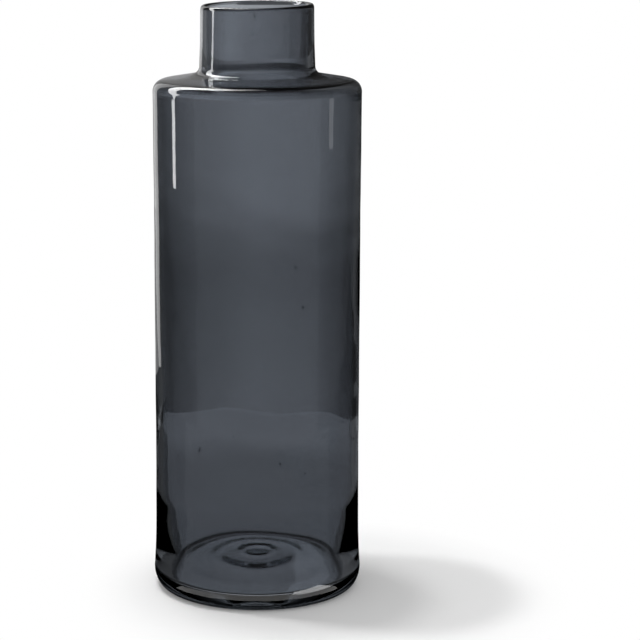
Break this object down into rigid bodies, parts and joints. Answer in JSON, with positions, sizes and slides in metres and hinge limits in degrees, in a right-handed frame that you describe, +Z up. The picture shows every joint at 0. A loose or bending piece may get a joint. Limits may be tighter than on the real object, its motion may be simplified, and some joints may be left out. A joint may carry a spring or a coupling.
{
  "type": "bottle vase",
  "caption": "Tall bottle vase in smoked blown glass, with a straight round body, flat shoulder, short wide neck and heavy pushed-up base, for cut stems and branches.",
  "frame": {"origin": "middle of the foot ring, on the surface that the vase stands on", "axes": "+Z up along the axis of the body and neck, out of the mouth; +X and +Y level"},
  "size_m": [0.15, 0.15, 0.42],
  "materials": {
    "smoked_glass": "fire-polished, transparent, smoke grey with a blue cast"
  },
  "bodies": {
    "root": {"glass_vessel": "smoked_glass"}
  },
  "joints": []
}
